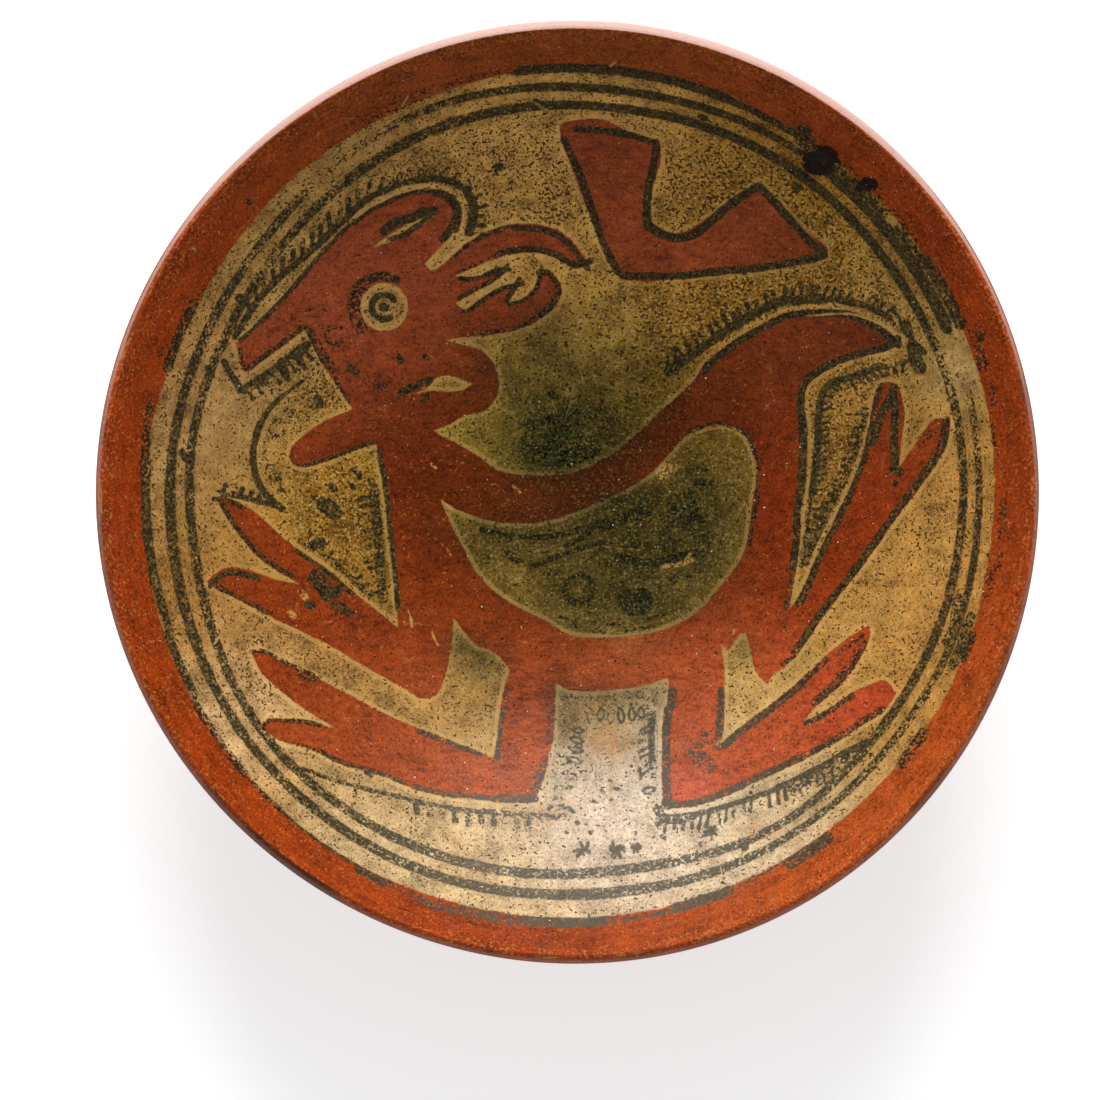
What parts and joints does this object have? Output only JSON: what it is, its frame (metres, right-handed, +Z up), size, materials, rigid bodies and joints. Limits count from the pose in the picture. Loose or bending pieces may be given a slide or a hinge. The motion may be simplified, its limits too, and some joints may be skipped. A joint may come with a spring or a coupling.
{
  "type": "pottery bowl",
  "caption": "Shallow hand-built pottery bowl with a flaring wall, a rounded lip and a low foot ring, for serving or display.",
  "frame": {"origin": "on the bowl's axis, on the surface that the foot ring stands on", "axes": "+Z up along the bowl's axis, out of its mouth; +Y towards the top of the painted figure"},
  "size_m": [0.25, 0.25, 0.062],
  "materials": {
    "cream_slip": "burnished slip, painted in red and dark brown",
    "red_slip": "burnished slip"
  },
  "bodies": {
    "root": {"base_disc": "cream_slip", "wall_coil_1": "cream_slip", "wall_coil_2": "cream_slip", "wall_coil_3": "cream_slip", "wall_coil_4": "cream_slip", "rim_coil": "red_slip", "foot_ring": "red_slip"}
  },
  "joints": []
}
